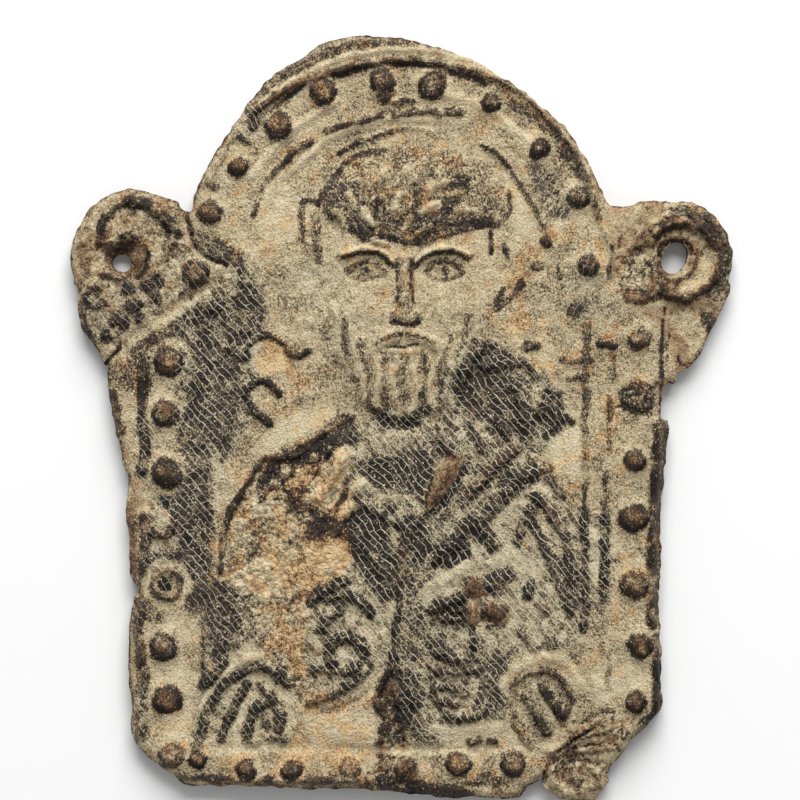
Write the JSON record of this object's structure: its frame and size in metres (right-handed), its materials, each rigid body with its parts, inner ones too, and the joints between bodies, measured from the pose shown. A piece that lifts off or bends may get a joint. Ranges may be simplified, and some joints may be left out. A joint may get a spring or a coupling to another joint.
{
  "type": "pilgrim plaque",
  "caption": "Small cast lead-alloy plaque with an arched top and pierced shoulder lugs, showing a half-length haloed saint in low relief inside a border of bosses.",
  "frame": {"origin": "middle of the outline's box, on the flat back that the plaque lies on", "axes": "+Z out of the relief, +Y to the top of the arch, +X to the side of the saint's covered hand"},
  "size_m": [0.0416, 0.048, 0.0024],
  "materials": {
    "lead_alloy": "matte buff crust over dark corroded lead alloy"
  },
  "bodies": {
    "root": {"plaque": "lead_alloy"}
  },
  "joints": []
}
